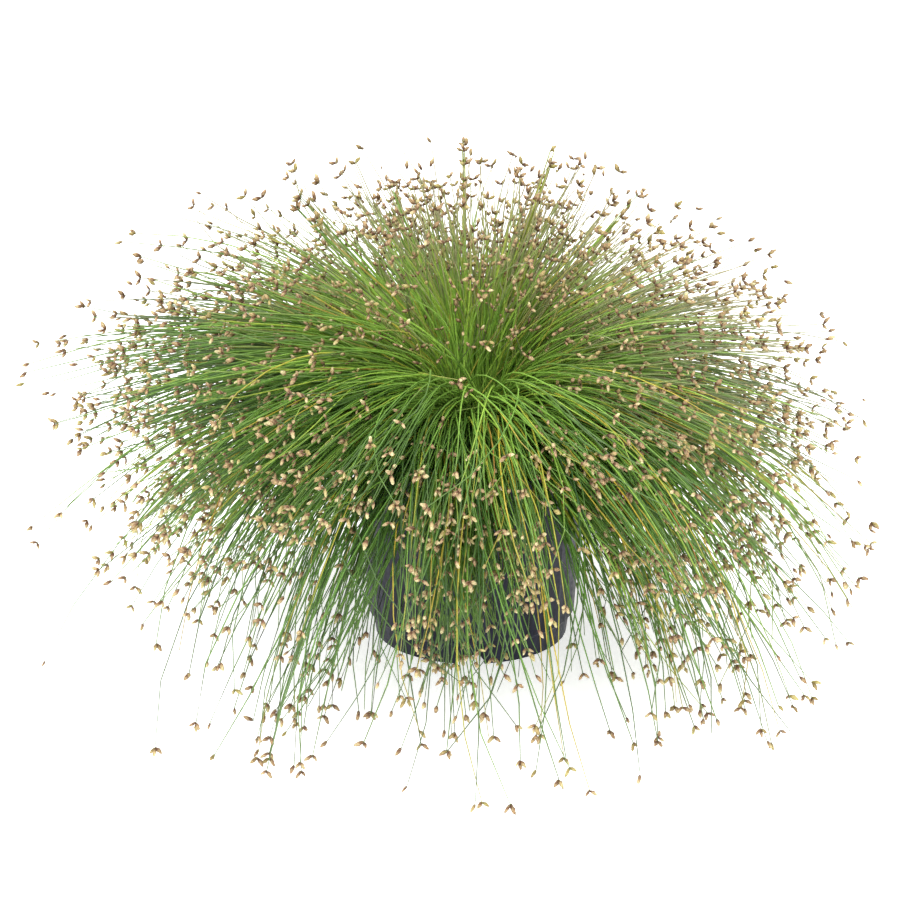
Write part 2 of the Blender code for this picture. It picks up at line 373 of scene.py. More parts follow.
class StemSettings(bpy.types.PropertyGroup):
    """Fine arching stems."""

    per_tuft: bpy.props.IntProperty(
        name="Stems per Tuft", description="Usual number of stems in a tuft", min=3, max=400, default=108,
    )
    base_radius: size_setting(
        "Base Radius", "Radius of a stem where it leaves the soil", 0.0001, 0.002, 0.00058,
    )
    tip_radius: size_setting("Tip Radius", "Radius of a stem under its spikelets", 0.00005, 0.001, 0.00025)
    dark_green: colour_setting("Dark Green", "Colour of the older green stems", (0.028, 0.104, 0.010))
    mid_green: colour_setting("Mid Green", "Colour of most stems", (0.113, 0.274, 0.026))
    fresh_green: colour_setting("Fresh Green", "Colour of young stems", (0.265, 0.470, 0.052))
    yellow: colour_setting("Yellow", "Colour of stems that turn", (0.620, 0.450, 0.035))
    rust: colour_setting("Rust", "Colour of stems that have turned", (0.560, 0.210, 0.040))
    straw: colour_setting("Straw", "Colour of the dry upper ends", (0.330, 0.290, 0.170))


class SpikeletSettings(bpy.types.PropertyGroup):
    """Small flower heads at the stems' tips."""

    length: size_setting("Length", "Usual length of a spikelet", 0.001, 0.01, 0.0048)
    radius: size_setting("Radius", "Usual largest radius of a spikelet", 0.0003, 0.003, 0.00099)
    spread: bpy.props.FloatProperty(
        name="Spread", description="Largest angle between a spikelet and its stem", subtype="ANGLE",
        unit="ROTATION", min=0.0, max=1.5, default=math.radians(60.0),
    )
    cream: colour_setting("Cream", "Colour of the spikelet's tip", (0.560, 0.520, 0.290))
    brown: colour_setting("Brown", "Colour of the scales at its base", (0.190, 0.094, 0.050))


class StageSettings(bpy.types.PropertyGroup):
    """Floor and light."""

    floor_colour: colour_setting("Floor Colour", "Colour of the floor", (0.93, 0.93, 0.93))
    floor_glow: bpy.props.FloatProperty(
        name="Floor Glow", description="Strength of the light that the floor gives off",
        min=0.0, max=2.0, default=0.59,
    )
    sky_strength: bpy.props.FloatProperty(
        name="Sky Strength", description="Strength of the even light all round",
        min=0.0, max=5.0, default=1.0,
    )
    lamp_power: bpy.props.FloatProperty(
        name="Lamp Power", description="Power that the soft lamps' shares are taken from", subtype="POWER",
        unit="POWER", min=0.0, max=500.0, default=26.0,
    )


class PottedGrassSettings(bpy.types.PropertyGroup):
    """All settings of the potted grass."""

    seed: bpy.props.IntProperty(
        name="Seed", description="Start of the repeatable draws", min=0, max=9999, default=11,
    )
    pot: bpy.props.PointerProperty(type=PotSettings)
    soil: bpy.props.PointerProperty(type=SoilSettings)
    stems: bpy.props.PointerProperty(type=StemSettings)
    spikelets: bpy.props.PointerProperty(type=SpikeletSettings)
    stage: bpy.props.PointerProperty(type=StageSettings)


# Draws and shares


def piece_draws(settings, number):
    """Repeatable random draws of one piece."""
    return np.random.default_rng(settings.seed * SEED_STEP + number)


def draw_from(draw, span, count):
    """Draws from a span, which is given as its least value and its width."""
    least, width = span
    return least + width * draw.random(count)


def rising(value, start, span):
    """Share, from 0 to 1, of a span that a value has risen through since its start."""
    return np.clip((value - start) / span, 0.0, 1.0)


# Tufts, as in the solids


def wander(index, seed):
    """Repeatable number from -1 to 1 for a tuft."""
    index_scale, seed_scale, scatter = WANDER_SCALES
    value = math.sin(index * index_scale + seed * seed_scale) * scatter
    return 2.0 * (value - math.floor(value)) - 1.0


def tuft_share(index):
    """Place of a tuft from the crown's centre, 0, to its edge, 1, by area."""
    return (index + 0.5) / TUFT_COUNT


def tuft_root(index):
    """Where a tuft leaves the soil."""
    radius = CROWN_RADIUS * math.sqrt(tuft_share(index))
    azimuth = index * GOLDEN_ANGLE
    return np.array((radius * math.cos(azimuth), radius * math.sin(azimuth), SOIL_HEIGHT + FIT_GAP))


def tuft_aim(index):
    """Lean from straight up and azimuth of a tuft, so that the tips cover the dome evenly."""
    lean = math.acos(1.0 - tuft_share(index) * (1.0 - math.cos(LEAN_LIMIT)))
    return lean, index * GOLDEN_ANGLE + AZIMUTH_SPREAD * wander(index, AIM_SEED)


def sheaf_aim(index, sheaf):
    """Lean and azimuth of one sheaf of a tuft."""
    lean, azimuth = tuft_aim(index)
    side = math.pi * wander(index, FORK_SEED) + math.tau * sheaf / SHEAF_COUNT
    lean += SHEAF_SPREAD * math.cos(side)
    azimuth += SHEAF_SPREAD * math.sin(side) / max(math.sin(lean), math.sin(2 * SHEAF_SPREAD))
    return lean, azimuth


def headings(lean, azimuth):
    """Unit directions at leans from straight up."""
    level = np.sin(lean)
    return np.stack((level * np.cos(azimuth), level * np.sin(azimuth), np.cos(lean)), axis=-1)


def nearest_tuft(lean, azimuth):
    """Tuft that aims closest to a direction."""
    aim = headings(np.array([lean]), np.array([azimuth]))[0]
    leans, azimuths = np.array([tuft_aim(index) for index in range(TUFT_COUNT)]).T
    return int(np.argmax(headings(leans, azimuths) @ aim))


# Curves of the stems


def dome_points(lean, azimuth, length):
    """Points on the dome of tips, at leans from straight up."""
    level = np.where(lean < math.pi / 2, np.sin(lean), np.sin(lean) ** BELL_POWER)
    reach = length * (1.0 + SIDE_LEAN * np.cos(azimuth - SIDE_AZIMUTH)) * DOME_REACH * level
    upright = np.cos(lean)
    lift = 1.0 - TOP_TRIM * upright**2 + SIDE_LIFT * np.cos(azimuth - SIDE_AZIMUTH) * np.sin(lean) ** 2
    height = DOME_CENTRE_HEIGHT + length * lift * DOME_HEIGHT * upright
    return np.stack((reach * np.cos(azimuth), reach * np.sin(azimuth), height), axis=-1)


def stem_shares(steps):
    """Shares along a stem at which it has a ring, closest together where it bends over."""
    even = np.linspace(0.0, 1.0, steps + 1)
    return even + BEND_FOCUS * np.sin(math.tau * even) / math.tau


def arch_points(plan, steps):
    """Points of every stem's curve, which rises from the soil, bends over and runs out to the tip."""
    root, tip = plan["root"], plan["tip"]
    azimuth = np.arctan2(tip[:, 1] - root[:, 1] * ROOT_WEIGHT, tip[:, 0] - root[:, 0] * ROOT_WEIGHT)
    reach = np.hypot(tip[:, 0], tip[:, 1])
    lean = np.arctan2(reach, tip[:, 2] - FAN_CENTRE_HEIGHT)
    bend = (1.0 - np.cos(lean)) ** 2
    end_lean = lean + DROOP * bend + plan["droop"]
    span = np.linalg.norm(tip - root, axis=1)[:, None]
    start_azimuth = azimuth + plan["swing"]
    start_pull = (START_PULL + LOW_PULL * bend)[:, None]
    first = root + start_pull * span * headings(plan["rise"] * end_lean, start_azimuth)
    last = tip - END_PULL * span * headings(end_lean, azimuth + plan["veer"])
    t = stem_shares(steps)[None, :, None]
    s = 1.0 - t
    points = (
        s**3 * root[:, None] + 3 * s * s * t * first[:, None]
        + 3 * s * t * t * last[:, None] + t**3 * tip[:, None]
    )
    across = np.stack((-np.sin(azimuth), np.cos(azimuth), np.zeros_like(azimuth)), axis=-1)
    bow = plan["bow"][:, None, None] * np.sin(math.pi * t)
    bow = bow + plan["wave"][:, None, None] * np.sin(math.tau * t)
    points = points + across[:, None] * bow * span[:, None]
    return lift_over_rim(points, t)


def lift_over_rim(points, t):
    """Raise the curves that would cut through the pot's rim, so that they rest on it."""
    radius = np.hypot(points[..., 0], points[..., 1])
    lowest = POT_HEIGHT + RIM_CLEARANCE
    near_rim = (radius > RIM_INSIDE_RADIUS - RIM_NEAR_INSIDE) & (radius < RIM_RADIUS + RIM_NEAR_OUTSIDE)
    arc = (4.0 * t * (1.0 - t))[..., 0]
    short = np.clip(lowest - points[..., 2], 0.0, MOST_LIFT)
    want = np.where(near_rim, short, 0.0) / np.maximum(arc, LEAST_ARC)
    points[..., 2] += want.max(axis=1)[:, None] * arc
    return points


# Plan of the stems


def part_crown(lean, azimuth, share):
    """Leans and azimuths turned away, by a share, from where the crown parts."""
    aim = headings(lean, azimuth)
    middle = headings(np.array([PARTING_LEAN]), np.array([PARTING_AZIMUTH]))[0]
    near = np.clip(aim @ middle, -1.0, 1.0)
    away = np.arccos(near)
    side = unit(aim - near[:, None] * middle)
    away += share * PARTING_PUSH * PARTING_WIDTH * np.exp(-((away / PARTING_WIDTH) ** 2))
    turned = np.cos(away)[:, None] * middle + np.sin(away)[:, None] * side
    return np.arccos(np.clip(turned[:, 2], -1.0, 1.0)), np.arctan2(turned[:, 1], turned[:, 0])


def front_offset(azimuth):
    """Angle round the pot from the middle of its front."""
    return np.arctan2(np.sin(azimuth - PARTING_AZIMUTH), np.cos(azimuth - PARTING_AZIMUTH))


def nearness_to_sides(azimuth):
    """Share, from 0 to 1, by which an azimuth is at one of the sides of the pot's front."""
    return np.exp(-(((np.abs(front_offset(azimuth)) - BESIDE_AT) / BESIDE_WIDTH) ** 2))


def bare_sides(lean, azimuth, share):
    """Leans and azimuths of low stems turned away, by a share, from the sides of the pot's front."""
    offset = front_offset(azimuth)
    past = np.abs(offset) - BESIDE_AT
    beside = share * nearness_to_sides(azimuth)
    hanging = rising(lean, BESIDE_LEAN, BESIDE_LEAN_SPAN)
    turn = np.sign(past) * BESIDE_PUSH * BESIDE_WIDTH * beside * hanging
    lift = BESIDE_LIFT * (offset > 0.0) * beside * np.maximum(lean - BESIDE_LEAN - BESIDE_LEAN_SPAN, 0.0)
    return lean - lift, azimuth + np.sign(offset) * turn


def plan_wisps(draw, index, count):
    """Lean, azimuth, length and tone of a tuft's wisps, each of them a few stems that keep together."""
    aims = np.array([sheaf_aim(index, sheaf) for sheaf in range(SHEAF_COUNT)])
    aim = aims[np.arange(count) % SHEAF_COUNT]
    lean = aim[:, 0] + draw.normal(0.0, WISP_SPREAD, count)
    side_spread = WISP_SPREAD / np.maximum(np.sin(aim[:, 0]), LEAST_LEVEL)
    azimuth = aim[:, 1] + draw.normal(0.0, 1.0, count) * side_spread
    lean, azimuth = part_crown(lean, azimuth, draw.random(count) < PARTING_SHARE)
    length = 1.0 - LENGTH_RANGE * draw.random(count) ** LENGTH_POWER
    sideways = np.abs(np.cos(azimuth)) * np.sin(lean)
    frontal = np.maximum(-np.sin(azimuth), 0.0) * np.sin(lean)
    deep = sideways * (1.0 - SIDES_FADE * rising(lean, *SIDES_LEANS))
    tone = draw.normal(TONE_MIDDLE, TONE_SPREAD, count) + TOP_TONE * np.cos(lean)
    return lean, azimuth, length, tone - SIDES_TONE * deep - FRONT_TONE * frontal


def scatter_stems(draw, wisps, wisp):
    """Stems about their wisps, with their chance of being left where they hang over the pot."""
    wisp_lean, wisp_azimuth, wisp_length, wisp_tone = (values[wisp] for values in wisps)
    count = len(wisp)
    hung = rising(wisp_lean, *LOW_LEANS)
    stray = draw.random(count) < STRAY_SHARE + LOW_STRAY_SHARE * hung
    loose = np.where(stray, STRAY_SPREAD, CLOSE_SPREAD)
    lean = wisp_lean + draw.normal(0.0, 1.0, count) * loose
    loose = loose * (1.0 + LOW_LOOSENESS * hung)
    azimuth = wisp_azimuth + draw.normal(0.0, 1.0, count) * loose / np.maximum(np.sin(lean), LEAST_LEVEL)
    chance = draw.random(count)
    low = rising(lean, *LOW_LEANS)
    uneven = draw.normal(0.0, UNEVENNESS, count) * (1.0 + LOW_UNEVENNESS * low)
    length = np.minimum(wisp_length * (1.0 + uneven), LONGEST_LOOSE)
    tone = np.clip(wisp_tone + draw.normal(0.0, STEM_TONE_SPREAD, count), 0.0, 1.0)
    left_low = np.maximum(np.cos(azimuth - SIDE_AZIMUTH), 0.0) * rising(lean, *LEFT_LEANS)
    length *= 1.0 - LEFT_TRIM * left_low * (draw.random(count) < LEFT_TRIM_SHARE)
    return {
        "lean": lean, "azimuth": azimuth, "length": length, "tone": tone, "stray": stray, "chance": chance,
        "loose": np.ones(count), "firm": np.zeros(count),
    }


def lay_bundles(draw, bundles, stems):
    """Turn the first stems of a tuft into its bundles."""
    taken = 0
    for degrees, heading, reach, tone, size, spread, unevenness in bundles:
        picked = slice(taken, taken + size)
        taken += size
        size = len(stems["lean"][picked])
        spread = math.radians(spread)
        narrow = max(math.sin(math.radians(degrees)), BUNDLE_LEAST_LEVEL)
        stems["lean"][picked] = math.radians(degrees) + draw.normal(0.0, spread, size)
        stems["azimuth"][picked] = math.radians(heading) + draw.normal(0.0, spread, size) / narrow
        stems["length"][picked] = reach * (1.0 - unevenness * draw.random(size))
        stems["tone"][picked] = np.clip(tone + draw.normal(0.0, BUNDLE_TONE_SPREAD, size), 0.0, 1.0)
        stems["stray"][picked] = False
        stems["loose"][picked] = min(spread / LOOSE_BUNDLE, 1.0)
        stems["firm"][picked] = spread < FIRM_BUNDLE


def place_tips(lean, azimuth, length):
    """Tips on the dome, kept off the floor and within the plant's height and width."""
    tip = dome_points(lean, azimuth, length)
    tip[:, 2] = np.clip(tip[:, 2], LOWEST_TIP, HIGHEST_TIP)
    far = np.hypot(tip[:, 0], tip[:, 1])
    tip[:, :2] *= np.minimum(WIDEST_TIP / np.maximum(far, TINY), 1.0)[:, None]
    return tip


def place_roots(draw, index, stems):
    """Roots of a tuft's stems, close round where the tuft leaves the soil."""
    count = len(stems["lean"])
    turn = draw.random(count) * math.tau
    gathered = np.where(stems["firm"] == 0.0, 1.0, FIRM_ROOTS)
    away = ROOT_SPREAD * np.sqrt(draw.random(count)) * np.minimum(stems["loose"], gathered)
    root = np.repeat(tuft_root(index)[None], count, axis=0)
    root[:, 0] += away * np.cos(turn)
    root[:, 1] += away * np.sin(turn)
    root[:, 2] = SOIL_HEIGHT - ROOT_DEPTH
    return root


def age_stems(draw, lean, azimuth, low, firm):
    """Dryness of each stem's upper end, which stems have turned, and each stem's age."""
    count = len(lean)
    level = np.sin(lean)
    dry = DRY_TOP * np.cos(lean) + DRY_BACK * np.sin(azimuth) * level + DRY_RIGHT * np.cos(azimuth) * level
    dry += DRY_LOW * low * (draw.random(count) < DRY_LOW_SHARE)
    dry = (dry + DRY_EVEN + draw.normal(0.0, DRY_SPREAD, count)) * (1.0 - firm)
    right = 0.5 + 0.5 * np.cos(azimuth - TURNED_AZIMUTH)
    share = TURNED_SHARE + TURNED_RIGHT_SHARE * right**2 - TURNED_LOW_SHARE * low
    turned = draw.random(count) < share
    turned_range = TURNED_AGE_RANGE - TURNED_LOW_AGE * low
    turned_age = TURNED_AGE + turned_range * draw.random(count) ** (1.0 - TURNED_LOW_POWER * low)
    age = np.where(turned, turned_age, GREEN_AGE_RANGE * draw.random(count))
    return np.clip(dry, 0.0, 1.0), turned, age


def plan_stems(settings, index):
    """Roots, tips, bends and colours of one tuft's stems."""
    draw = piece_draws(settings, index)
    degrees = math.degrees(tuft_aim(index)[0])
    count = int(settings.stems.per_tuft * np.interp(degrees, TUFT_LEANS, DENSITY))
    wisp_count = max(int(count / np.interp(degrees, TUFT_LEANS, WISP_SIZES)), 1)
    bundles = [row for row in BUNDLES if index == nearest_tuft(*np.radians(row[:2]))]
    count += int(BUNDLE_EXTRA * sum(row[4] for row in bundles))
    wisp = np.arange(count) % wisp_count
    stems = scatter_stems(draw, plan_wisps(draw, index, wisp_count), wisp)
    lay_bundles(draw, bundles, stems)

    lean, azimuth, length, tone, loose, firm = (
        stems[key] for key in ("lean", "azimuth", "length", "tone", "loose", "firm")
    )
    lowest = rising(lean, *FRONT_LEANS)
    bare = stems["chance"] < BESIDE_SHARE - FRONT_SHARE * lowest
    lean, azimuth = bare_sides(lean, azimuth, bare)
    inward = -FRONT_SWING * front_offset(azimuth) * nearness_to_sides(azimuth) * lowest * ~bare
    lean = np.clip(np.abs(lean), LEAST_LEAN, LOWEST_LEAN)
    low = rising(lean, *LOW_LEANS)
    front = np.maximum(np.cos(azimuth - FRINGE_AZIMUTH), 0.0)
    length = np.clip(length * (1.0 + FRINGE * low * front**2), SHORTEST, LONGEST)
    root = place_roots(draw, index, stems)
    curl = 1.0 + CURL * (draw.random(count) < CURL_SHARE * low) * loose
    dry, turned, age = age_stems(draw, lean, azimuth, low, firm)

    def bend(shared, own, wild):
        """Bends that a wisp's stems share, with each stem's own share on top."""
        together = draw.normal(0.0, shared, wisp_count)[wisp]
        return loose * (together + draw.normal(0.0, own, count) * (1.0 + wild * stems["stray"]))

    droop = bend(*DROOP_BEND)
    rise = RISE_SHARE + loose * draw.normal(0.0, RISE_SPREAD, count) + LOW_RISE * low * draw.random(count)
    swing = bend(*SWING_BEND) * (inward == 0.0) + inward
    hanging = 1.0 + LOW_BENDING * low
    veer = bend(*VEER_BEND) * hanging
    bow = bend(*BOW_BEND) * hanging * curl
    wave = loose * draw.normal(0.0, WAVE_SPREAD, count) * (1.0 + LOW_WAVE * low) * curl
    thickness = draw_from(draw, THICKNESS, count) * (1.0 + FIRM_THICKNESS * firm)
    return {
        "root": root,
        "tip": place_tips(lean, azimuth, length),
        "droop": droop,
        "rise": rise,
        "swing": swing,
        "veer": veer,
        "bow": bow,
        "wave": wave,
        "tone": tone,
        # Share of painted light on the foot of each upright stem
        "fresh": np.clip(PAINTED_LIGHT_LIFT + np.cos(lean), 0.0, 1.0),
        # Share of painted shade on the foot of each low stem
        "shady": np.clip(SHADY_LIFT - np.cos(lean), 0.0, SHADY_SPAN) / SHADY_SPAN,
        "dry": dry,
        "age": np.where(firm * (tone > FIRM_TONE), FIRM_AGE, age),
        "thickness": thickness * (1.0 - TURNED_THINNING * turned),
    }


# Meshes


def unit(vectors):
    """Vectors at length 1."""
    return vectors / np.maximum(np.linalg.norm(vectors, axis=-1, keepdims=True), TINY)


def cross_frames(direction):
    """Two directions square to each direction and to each other."""
    helper = np.zeros_like(direction)
    flat = np.abs(direction[..., 2]) < UPRIGHT
    helper[..., 2] = flat
    helper[..., 0] = ~flat
    first = unit(np.cross(direction, helper))
    return first, np.cross(direction, first)


def cell_places(number, count, columns):
    """Corner and size of a copy's own cell on the map, with a margin."""
    rows = math.ceil(count / columns)
    width, height = 1.0 / columns, 1.0 / rows
    left = (number % columns + MAP_MARGIN) * width
    bottom = (number // columns + MAP_GAP) * height
    return left, bottom, width * (1.0 - 2 * MAP_MARGIN), height * (1.0 - 2 * MAP_GAP)


def tube_template(rings, sides):
    """Faces of a tube of rings with a point at each end, and its corners' places across and along."""
    faces, places = [], []
    last = rings * sides
    for side in range(sides):
        following = (side + 1) % sides
        across, after = side / sides, (side + 1) / sides
        faces.append((last, following, side))
        places += [((across + after) / 2, 0.0), (after, 0.5 / rings), (across, 0.5 / rings)]
        for ring in range(rings - 1):
            low, high = (ring + 0.5) / rings, (ring + 1.5) / rings
            a, b = ring * sides, (ring + 1) * sides
            faces.append((a + side, a + following, b + following, b + side))
            places += [(across, low), (after, low), (after, high), (across, high)]
        top = (rings - 1) * sides
        faces.append((top + side, top + following, last + 1))
        places += [(across, 1.0 - 0.5 / rings), (after, 1.0 - 0.5 / rings), ((across + after) / 2, 1.0)]
    return faces, np.array(places)


def make_mesh(name, every, rings, sides, columns, values, material):
    """Mesh of a tube repeated for many copies, with named values and a cell of the map for each copy."""
    count, each = every.shape[:2]
    faces, places = tube_template(rings, sides)
    repeated = [tuple(corner + copy * each for corner in face) for copy in range(count) for face in faces]
    made = np.empty((count,) + places.shape)
    for copy in range(count):
        left, bottom, width, height = cell_places(copy, count, columns)
        made[copy, :, 0] = left + width * places[:, 0]
        made[copy, :, 1] = bottom + height * places[:, 1]
    mesh = bpy.data.meshes.new(name)
    mesh.from_pydata(every.reshape(-1, 3), [], repeated)
    for key, value in values.items():
        attribute = mesh.attributes.new(key, "FLOAT", "POINT")
        attribute.data.foreach_set("value", np.ascontiguousarray(value, np.float32))
    layer = mesh.uv_layers.new(name=MAP_NAME)
    layer.data.foreach_set("uv", np.ascontiguousarray(made, np.float32).ravel())
    mesh.polygons.foreach_set("use_smooth", np.ones(len(mesh.polygons), bool))
    mesh.update()
    piece = bpy.data.objects.new(name, mesh)
    bpy.context.scene.collection.objects.link(piece)
    piece.data.materials.append(material)
    return piece


def ring_spokes(angle, across, beside):
    """Directions from a ring's middle out to its corners."""
    return np.cos(angle)[None, :, None] * across[:, None] + np.sin(angle)[None, :, None] * beside[:, None]


def close_rings(rings, foot, point):
    """Points of every copy's rings, with the points at both its ends."""
    return np.concatenate((rings.reshape(len(foot), -1, 3), np.stack((foot, point), axis=1)), axis=1)


def make_stems(settings, index, material):
    """All stems of one tuft as one mesh."""
    plan = plan_stems(settings, index)
    count = len(plan["tone"])
    points = arch_points(plan, STEM_STEPS)
    direction = unit(np.gradient(points, axis=1))
    first, second = cross_frames(direction)
    t = stem_shares(STEM_STEPS)
    spare = settings.stems.base_radius - settings.stems.tip_radius
    taper = settings.stems.tip_radius + spare * (1.0 - t**STEM_TAPER)
    radius = taper[None] * plan["thickness"][:, None]
    angle = math.tau * np.arange(STEM_SIDES) / STEM_SIDES
    rings = points[:, :, None] + radius[..., None, None] * (
        np.cos(angle)[:, None] * first[:, :, None] + np.sin(angle)[:, None] * second[:, :, None]
    )
    foot = points[:, 0] - direction[:, 0] * STEM_FOOT
    point = points[:, -1] + direction[:, -1] * STEM_POINT
    every = close_rings(rings, foot, point)
    along = np.concatenate((np.repeat(t, STEM_SIDES), (0.0, 1.0)))
    # How far up the stem the painted light reaches
    painted_light_part = np.clip(PAINTED_LIGHT_START - along / PAINTED_LIGHT_REACH, 0.0, 1.0)
    # How far up the stem the painted shade reaches
    shady_part = np.clip(1.0 - along / SHADY_REACH, 0.0, 1.0)
    values = {key: np.repeat(plan[key], every.shape[1]) for key in ("tone", "age", "dry")}
    values["along"] = np.tile(along, count)
    values["fresh"] = np.outer(plan["fresh"], painted_light_part).ravel()
    values["shady"] = np.outer(plan["shady"], shady_part).ravel()
    columns = math.ceil(count / MAP_ROWS)
    return make_mesh(f"stems_{index + 1:02d}", every, STEM_STEPS + 1, STEM_SIDES, columns, values, material)


def count_spikelets(draw, ends):
    """Number of spikelets at each stem's tip."""
    number = draw.choice((0, 1, 2, 3), size=len(ends), p=NUMBER_SHARES)
    close = (np.hypot(ends[:, 0], ends[:, 1]) < BARREN_REACH) & (ends[:, 2] < POT_HEIGHT)
    number[close & (draw.random(len(ends)) < BARREN_SHARE)] = 0
    return number


def aim_spikelets(draw, spread, direction, number, stem, place):
    """Directions of the spikelets, spread round their stem's end and sagging a little."""
    count = len(stem)
    turn = (draw.random(len(number)) * math.tau)[stem] + math.tau * place / number[stem]
    turn += draw.normal(0.0, SPIKELET_TURN, count)
    tilt = spread * draw_from(draw, SPIKELET_TILT, count)
    tilt = np.where(number[stem] == 1, LONE_TILT * tilt, tilt)
    tilt = np.where((number[stem] == 3) & (place == 0), MIDDLE_TILT * tilt, tilt)
    first, second = cross_frames(direction)
    side = np.cos(turn)[:, None] * first + np.sin(turn)[:, None] * second
    axis = unit(np.cos(tilt)[:, None] * direction + np.sin(tilt)[:, None] * side)
    axis[:, 2] -= SPIKELET_SAG
    return unit(axis)


def spikelet_points(base, axis, length, width):
    """Points of every spikelet: rings with raised scales, and both ends."""
    across, beside = cross_frames(axis)
    corners = np.arange(SPIKELET_SIDES)
    rings = []
    for ring, (share, fullness) in enumerate(SPIKELET_RINGS):
        relief = 1.0 + SCALE_RELIEF * np.where((corners + ring) % 2 == 0, 1.0, -1.0)
        centre = base + (share * length)[:, None] * axis
        spokes = ring_spokes(math.tau * corners / SPIKELET_SIDES + RING_TWIST * ring, across, beside)
        rings.append(centre[:, None] + (width * fullness)[:, None, None] * relief[None, :, None] * spokes)
    return close_rings(np.stack(rings, axis=1), base, base + length[:, None] * axis)


def make_spikelets(settings, index, material):
    """All spikelets at the tips of one tuft's stems as one mesh."""
    points = arch_points(plan_stems(settings, index), STEM_STEPS)
    draw = piece_draws(settings, SPIKELET_SEED + index)
    number = count_spikelets(draw, points[:, -1])
    stem = np.repeat(np.arange(len(number)), number)
    place = np.concatenate([np.arange(each) for each in number])
    count = len(stem)
    ends = points[stem, -1]
    direction = unit(points[:, -1] - points[:, -2])[stem]
    axis = aim_spikelets(draw, settings.spikelets.spread, direction, number, stem, place)
    out = np.linalg.norm(ends - (0.0, 0.0, FAN_CENTRE_HEIGHT), axis=1)
    size = draw_from(draw, SPIKELET_SIZE, count) * np.interp(out, OUTER_REACHES, OUTER_SIZES)
    size *= 1.0 - FRONT_SHRINK * rising(-ends[:, 1], 0.0, FRONT_REACH)
    length = settings.spikelets.length * size
    width = settings.spikelets.radius * size * draw_from(draw, SPIKELET_WIDTH, count)
    nearest, further = SPIKELET_BACK
    back = (nearest + further * draw.random(len(number)) ** 2)[stem] + SPIKELET_STEP * place
    base = ends - direction * back[:, None]
    low = base[:, 2] + length * axis[:, 2] < FLOOR_GAP
    axis[low, 2] = np.abs(axis[low, 2]) * FLOOR_LIFT
    every = spikelet_points(base, unit(axis), length, width)
    each = every.shape[1]
    along = np.concatenate((np.repeat([share for share, _ in SPIKELET_RINGS], SPIKELET_SIDES), (0.0, 1.0)))
    pale_edges = np.add.outer(np.arange(len(SPIKELET_RINGS)), np.arange(SPIKELET_SIDES)).ravel() % 2
    height = (ends[:, 2] - DOME_CENTRE_HEIGHT) / DOME_HEIGHT
    ripeness = RIPENESS - RIPENESS_DROP * np.abs(height) ** RIPENESS_POWER
    tone = np.clip(ripeness + draw.normal(0.0, RIPENESS_SPREAD, count), 0.0, 1.0)
    values = {
        "along": np.tile(along, count),
        "tone": np.repeat(tone, each),
        "age": np.repeat(draw.random(count), each),
        "edge": np.tile(np.concatenate((pale_edges, (0.0, 1.0))), count),
    }
    name = f"spikelets_{index + 1:02d}"
    columns = math.ceil(math.sqrt(count))
    return make_mesh(name, every, len(SPIKELET_RINGS), SPIKELET_SIDES, columns, values, material)


def make_crumbs(settings, material):
    """Irregular crumbs of peat and bark on the soil."""
    draw = piece_draws(settings, CRUMB_SEED)
    count = settings.soil.crumb_count
    radius = (RIM_INSIDE_RADIUS - CRUMB_MARGIN) * np.sqrt(draw.random(count))
    azimuth = draw.random(count) * math.tau
    least, spare = CRUMB_SIZE
    size = settings.soil.crumb_size * (least + spare * draw.random(count) ** 2)
    drop = np.maximum(radius - SOIL_FLAT_RADIUS, 0.0) * SOIL_SLOPE
    centre = np.stack((radius * np.cos(azimuth), radius * np.sin(azimuth), SOIL_HEIGHT - drop), axis=-1)
    axis = unit(draw.normal(0.0, 1.0, (count, 3)))
    spokes = ring_spokes(math.tau * np.arange(CRUMB_SIDES) / CRUMB_SIDES, *cross_frames(axis))
    rings = []
    for share, fullness in CRUMB_RINGS:
        rough = draw_from(draw, CRUMB_ROUGHNESS, (count, CRUMB_SIDES))
        middle = centre + ((share - 0.5) * size)[:, None] * axis
        reach = CRUMB_FULLNESS * size * fullness
        rings.append(middle[:, None] + reach[:, None, None] * rough[..., None] * spokes)
    half = 0.5 * size[:, None] * axis
    every = close_rings(np.stack(rings, axis=1), centre - half, centre + half)
    values = {"tone": np.repeat(draw.random(count), every.shape[1])}
    columns = math.ceil(math.sqrt(count))
    return make_mesh("soil_crumbs", every, len(CRUMB_RINGS), CRUMB_SIDES, columns, values, material)


# Materials


